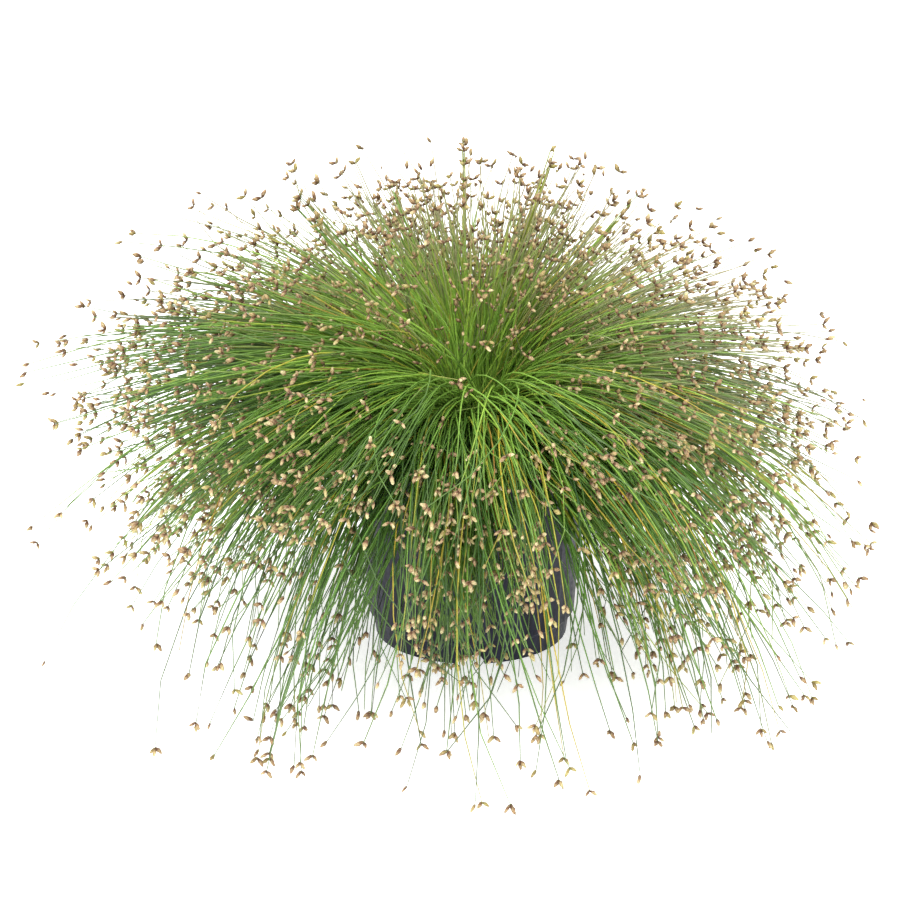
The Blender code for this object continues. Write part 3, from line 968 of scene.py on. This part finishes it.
class Nodes:
    """Short ways to add and link the nodes of one material."""

    def __init__(self, name, roughness, specular):
        self.material = bpy.data.materials.new(name)
        self.material.use_nodes = True
        self.tree = self.material.node_tree
        self.shader = self.tree.nodes["Principled BSDF"]
        self.shader.inputs["Roughness"].default_value = roughness
        self.shader.inputs["Specular IOR Level"].default_value = specular

    def add(self, kind, **values):
        """New node with settings."""
        node = self.tree.nodes.new(kind)
        for key, value in values.items():
            setattr(node, key, value)
        return node

    def link(self, source, target):
        """Link an output to an input."""
        self.tree.links.new(source, target)

    def value(self, name):
        """Value kept at the mesh's points."""
        return self.add("ShaderNodeAttribute", attribute_name=name).outputs["Fac"]

    def ramp(self, source, stops):
        """Colour ramp over stops of place and colour."""
        node = self.add("ShaderNodeValToRGB")
        elements = node.color_ramp.elements
        while len(elements) < len(stops):
            elements.new(0.5)
        for element, (place, colour) in zip(elements, stops):
            element.position = place
            element.color = colour
        self.link(source, node.inputs["Fac"])
        return node.outputs["Color"]

    def noise(self, scale, stretch=(1.0, 1.0, 1.0), detail=3.0, roughness=0.55):
        """Noise in the object's own space, stretched along its axes."""
        space = self.add("ShaderNodeTexCoord").outputs["Object"]
        mapping = self.add("ShaderNodeMapping")
        mapping.inputs["Scale"].default_value = stretch
        self.link(space, mapping.inputs["Vector"])
        node = self.add("ShaderNodeTexNoise")
        node.inputs["Scale"].default_value = scale
        node.inputs["Detail"].default_value = detail
        node.inputs["Roughness"].default_value = roughness
        self.link(mapping.outputs["Vector"], node.inputs["Vector"])
        return node.outputs["Fac"]

    def blend(self, factor, first, second, mode="MIX"):
        """Blend of two colours, by a value or a link."""
        node = self.add("ShaderNodeMix", data_type="RGBA", blend_type=mode)
        factor_in, first_in, second_in = node.inputs[0], node.inputs[6], node.inputs[7]
        for socket, given in ((factor_in, factor), (first_in, first), (second_in, second)):
            if isinstance(given, bpy.types.NodeSocket):
                self.link(given, socket)
            else:
                socket.default_value = given
        return node.outputs[2]

    def mottle(self, colour, noise, stops):
        """Colour made darker and lighter over a noise."""
        return self.blend(1.0, colour, self.ramp(noise, stops), "MULTIPLY")

    def tint(self, colour, other, source, low, high, most=1.0):
        """Colour turned towards another as a value rises through a span."""
        return self.blend(self.span(source, low, high, to_high=most), colour, other)

    def span(self, source, low, high, to_low=0.0, to_high=1.0):
        """Value brought from one span to another."""
        node = self.add("ShaderNodeMapRange")
        self.link(source, node.inputs["Value"])
        for key, value in (("From Min", low), ("From Max", high), ("To Min", to_low), ("To Max", to_high)):
            node.inputs[key].default_value = value
        return node.outputs["Result"]

    def product(self, first, second):
        """Two values multiplied."""
        node = self.add("ShaderNodeMath", operation="MULTIPLY")
        self.link(first, node.inputs[0])
        self.link(second, node.inputs[1])
        return node.outputs["Value"]

    def paint(self, colour):
        """Give the surface its colour."""
        self.link(colour, self.shader.inputs["Base Color"])

    def roughen(self, noise, least, most):
        """Give the surface a roughness that varies over a noise."""
        self.link(self.span(noise, NOISE_LOW, NOISE_HIGH, least, most), self.shader.inputs["Roughness"])

    def bump(self, height, strength, distance):
        """Give the surface relief from a height."""
        node = self.add("ShaderNodeBump")
        node.inputs["Strength"].default_value = strength
        node.inputs["Distance"].default_value = distance
        self.link(height, node.inputs["Height"])
        self.link(node.outputs["Normal"], self.shader.inputs["Normal"])


def shade(colour, amount):
    """Colour made darker or lighter."""
    return tuple(min(channel * amount, 1.0) for channel in colour[:3]) + (1.0,)


def stem_material(values):
    """Green stems that vary from one to the next, some turned yellow or rusty."""
    nodes = Nodes("grass_stem_finish", roughness=0.42, specular=0.55)
    green = nodes.ramp(nodes.value("tone"), (
        (0.0, shade(values.dark_green, 0.7)),
        (0.25, values.dark_green),
        (0.52, values.mid_green),
        (0.80, values.fresh_green),
        (1.0, YELLOW_GREEN),
    ))
    turned = nodes.ramp(nodes.value("age"), (
        (0.55, shade(values.fresh_green, 1.2)),
        (0.68, TURNING_GREEN),
        (0.86, values.yellow),
        (0.95, shade(values.yellow, 0.80)),
        (0.98, values.rust),
        (1.0, shade(values.rust, 0.6)),
    ))
    colour = nodes.tint(green, turned, nodes.value("age"), low=0.42, high=0.56)
    colour = nodes.tint(colour, THIN_END, nodes.value("along"), low=0.55, high=1.0, most=0.60)
    drying = nodes.product(nodes.span(nodes.value("along"), low=0.56, high=0.90), nodes.value("dry"))
    colour = nodes.blend(drying, colour, values.straw)
    # Painted light: the feet of upright stems turned a bright fresh green
    colour = nodes.blend(nodes.value("fresh"), colour, PAINTED_LIGHT_FRESH_FOOT)
    # Painted shade: the feet of low stems darkened to a near black green
    colour = nodes.blend(nodes.value("shady"), colour, shade(values.dark_green, 0.25))
    nodes.paint(nodes.mottle(colour, nodes.noise(scale=260.0, detail=4.0), STEM_MOTTLE))
    nodes.roughen(nodes.noise(scale=900.0), least=0.32, most=0.56)
    nodes.bump(nodes.noise(scale=2600.0, detail=2.0), strength=0.25, distance=0.0001)
    return nodes.material


def spikelet_material(values):
    """Cream tips over mauve-brown scales, and riper ones that are brown throughout."""
    nodes = Nodes("spikelet_finish", roughness=0.62, specular=0.35)
    along = nodes.value("along")
    fresh = nodes.ramp(along, (
        (0.0, shade(values.brown, 0.45)),
        (0.28, values.brown),
        (0.50, FRESH_SCALE),
        (0.72, values.cream),
        (1.0, shade(values.cream, 1.15)),
    ))
    ripe = nodes.ramp(along, (
        (0.0, shade(values.brown, 0.35)),
        (0.45, shade(values.brown, 0.85)),
        (0.70, RIPE_SCALE),
        (1.0, shade(values.brown, 0.60)),
    ))
    colour = nodes.tint(ripe, fresh, nodes.value("tone"), low=0.30, high=0.62)
    pale = shade(values.cream, 0.92)
    colour = nodes.tint(colour, pale, nodes.value("edge"), low=0.45, high=0.95, most=0.42)
    colour = nodes.tint(colour, GREEN_SCALE, nodes.value("age"), low=0.70, high=1.0, most=0.55)
    nodes.paint(nodes.mottle(colour, nodes.noise(scale=1500.0, detail=2.0), SCALE_MOTTLE))
    nodes.roughen(nodes.noise(scale=1200.0), least=0.5, most=0.75)
    nodes.bump(nodes.noise(scale=1900.0, detail=2.0), strength=0.5, distance=0.0002)
    return nodes.material


def pot_material(values):
    """Satin moulded plastic with upright flow lines, fine grain and light scuffs."""
    nodes = Nodes("pot_plastic_finish", values.roughness, specular=0.25)
    flow = nodes.noise(scale=1.0, stretch=(330.0, 330.0, 9.0), detail=4.0)
    scuff = nodes.noise(scale=70.0, stretch=(1.0, 1.0, 0.35), detail=8.0, roughness=0.7)
    dark = shade(values.colour, 0.75)
    colour = nodes.tint(dark, values.worn_colour, flow, low=0.40, high=0.68, most=0.75)
    colour = nodes.tint(colour, shade(values.worn_colour, 1.3), scuff, low=0.58, high=0.80, most=0.55)
    dark_scuffs = nodes.span(scuff, low=0.30, high=0.44, to_low=0.5, to_high=0.0)
    nodes.paint(nodes.blend(dark_scuffs, colour, shade(values.colour, 0.6)))
    rough = nodes.noise(scale=420.0, detail=4.0)
    nodes.roughen(rough, least=values.roughness - 0.10, most=values.roughness + 0.16)
    grain = nodes.blend(0.35, flow, nodes.noise(scale=1400.0, detail=2.0))
    nodes.bump(grain, strength=0.35, distance=0.0004)
    return nodes.material


def soil_material(values):
    """Moist dark peat with paler fibres."""
    nodes = Nodes("potting_soil_finish", roughness=0.92, specular=0.25)
    peat = nodes.noise(scale=420.0, detail=8.0, roughness=0.7)
    nodes.paint(nodes.ramp(peat, (
        (0.30, shade(values.colour, 0.4)),
        (0.52, values.colour),
        (0.72, values.crumb_colour),
    )))
    nodes.roughen(peat, least=0.75, most=1.0)
    nodes.bump(peat, strength=0.9, distance=0.0015)
    return nodes.material


def crumb_material(values):
    """Crumbs from black peat to dry bark."""
    nodes = Nodes("soil_crumb_finish", roughness=0.9, specular=0.25)
    colour = nodes.ramp(nodes.value("tone"), (
        (0.0, shade(values.colour, 0.5)),
        (0.6, values.colour),
        (0.9, values.crumb_colour),
        (1.0, shade(values.crumb_colour, 1.8)),
    ))
    nodes.paint(nodes.mottle(colour, nodes.noise(scale=900.0, detail=5.0), CRUMB_MOTTLE))
    nodes.roughen(nodes.noise(scale=700.0), least=0.78, most=1.0)
    nodes.bump(nodes.noise(scale=1200.0, detail=4.0), strength=0.7, distance=0.0006)
    return nodes.material


def floor_material(colour, glow):
    """Even matt floor that gives off a little light, like a light table."""
    nodes = Nodes("floor_finish", roughness=0.9, specular=0.1)
    nodes.shader.inputs["Base Color"].default_value = colour
    nodes.shader.inputs["Emission Color"].default_value = WHITE
    nodes.shader.inputs["Emission Strength"].default_value = glow
    return nodes.material


# Operators


def place_aimed(scene, name, data, place, aim):
    """New lamp or camera at a place, turned towards an aim."""
    thing = bpy.data.objects.new(name, data)
    thing.location = place
    thing.rotation_euler = (Vector(aim) - Vector(place)).to_track_quat("-Z", "Y").to_euler()
    scene.collection.objects.link(thing)
    return thing


class GRASS_OT_finish_pot(bpy.types.Operator):
    """Give the nursery pot its moulded plastic finish"""

    bl_idname = "potted_grass.finish_pot"
    bl_label = "Finish Pot"

    def execute(self, context):
        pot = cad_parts["nursery_pot"]
        pot.data.materials.clear()
        pot.data.materials.append(pot_material(context.scene.potted_grass.pot))
        return {"FINISHED"}


class GRASS_OT_dress_soil(bpy.types.Operator):
    """Give the potting soil its finish and lay crumbs on it"""

    bl_idname = "potted_grass.dress_soil"
    bl_label = "Dress Soil"

    def execute(self, context):
        settings = context.scene.potted_grass
        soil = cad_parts["potting_soil"]
        soil.data.materials.clear()
        soil.data.materials.append(soil_material(settings.soil))
        crumbs = make_crumbs(settings, crumb_material(settings.soil))
        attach(crumbs, "root")
        return {"FINISHED"}


class GRASS_OT_grow_stems(bpy.types.Operator):
    """Grow the stems of every tuft"""

    bl_idname = "potted_grass.grow_stems"
    bl_label = "Grow Stems"

    def execute(self, context):
        settings = context.scene.potted_grass
        material = stem_material(settings.stems)
        for index in range(TUFT_COUNT):
            node = f"tuft_{index + 1:02d}"
            stems = make_stems(settings, index, material)
            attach(stems, "root")
            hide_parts(node)
        return {"FINISHED"}


class GRASS_OT_set_spikelets(bpy.types.Operator):
    """Set spikelets at the tips of the stems"""

    bl_idname = "potted_grass.set_spikelets"
    bl_label = "Set Spikelets"

    def execute(self, context):
        settings = context.scene.potted_grass
        material = spikelet_material(settings.spikelets)
        for index in range(TUFT_COUNT):
            spikelets = make_spikelets(settings, index, material)
            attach(spikelets, "root")
        return {"FINISHED"}


class GRASS_OT_set_stage(bpy.types.Operator):
    """Set the pale floor, the soft light and the camera"""

    bl_idname = "potted_grass.set_stage"
    bl_label = "Set Stage"

    def execute(self, context):
        scene = context.scene
        values = scene.potted_grass.stage
        corners = [(x * FLOOR_HALF, y * FLOOR_HALF, 0.0) for x, y in ((-1, -1), (1, -1), (1, 1), (-1, 1))]
        mesh = bpy.data.meshes.new("floor")
        mesh.from_pydata(corners, [], [(0, 1, 2, 3)])
        mesh.materials.append(floor_material(values.floor_colour, values.floor_glow))
        floor = bpy.data.objects.new("floor", mesh)
        scene.collection.objects.link(floor)

        world = bpy.data.worlds.new("even_light")
        world.use_nodes = True
        background = world.node_tree.nodes["Background"]
        background.inputs["Color"].default_value = WHITE
        background.inputs["Strength"].default_value = values.sky_strength
        scene.world = world

        for name, place, share, size in LAMPS:
            light = bpy.data.lights.new(name, "AREA")
            light.energy = values.lamp_power * share
            light.size = size
            place_aimed(scene, name, light, place, LAMP_AIM)

        view = bpy.data.cameras.new("camera")
        view.sensor_width = SENSOR_WIDTH
        view.lens = CAMERA_LENS
        view.clip_start = 0.01
        view.clip_end = 100.0
        scene.camera = place_aimed(scene, "camera", view, CAMERA_PLACE, CAMERA_AIM)
        scene.view_settings.view_transform = "Standard"
        return {"FINISHED"}


class GRASS_PT_panel(bpy.types.Panel):
    """Operators and settings of the potted grass"""

    bl_idname = "GRASS_PT_panel"
    bl_label = "Potted Grass"
    bl_space_type = "VIEW_3D"
    bl_region_type = "UI"
    bl_category = "Potted Grass"

    def draw(self, context):
        layout = self.layout
        settings = context.scene.potted_grass
        layout.prop(settings, "seed")
        for operator, group in STEPS:
            box = layout.box()
            box.operator(operator.bl_idname)
            values = getattr(settings, group)
            for key in values.bl_rna.properties.keys():
                if key not in {"rna_type", "name"}:
                    box.prop(values, key)


STEPS = (
    (GRASS_OT_finish_pot, "pot"),
    (GRASS_OT_dress_soil, "soil"),
    (GRASS_OT_grow_stems, "stems"),
    (GRASS_OT_set_spikelets, "spikelets"),
    (GRASS_OT_set_stage, "stage"),
)

CLASSES = (
    PotSettings, SoilSettings, StemSettings, SpikeletSettings, StageSettings, PottedGrassSettings,
    *(operator for operator, group in STEPS), GRASS_PT_panel,
)


def register():
    """Register the classes and the settings."""
    for item in CLASSES:
        bpy.utils.register_class(item)
    bpy.types.Scene.potted_grass = bpy.props.PointerProperty(type=PottedGrassSettings)


def unregister():
    """Remove the settings and the classes."""
    del bpy.types.Scene.potted_grass
    for item in reversed(CLASSES):
        bpy.utils.unregister_class(item)


def main():
    """Build every piece in order."""
    register()
    bpy.ops.potted_grass.finish_pot()
    bpy.ops.potted_grass.dress_soil()
    bpy.ops.potted_grass.grow_stems()
    bpy.ops.potted_grass.set_spikelets()
    bpy.ops.potted_grass.set_stage()


if __name__ == "__main__":
    main()
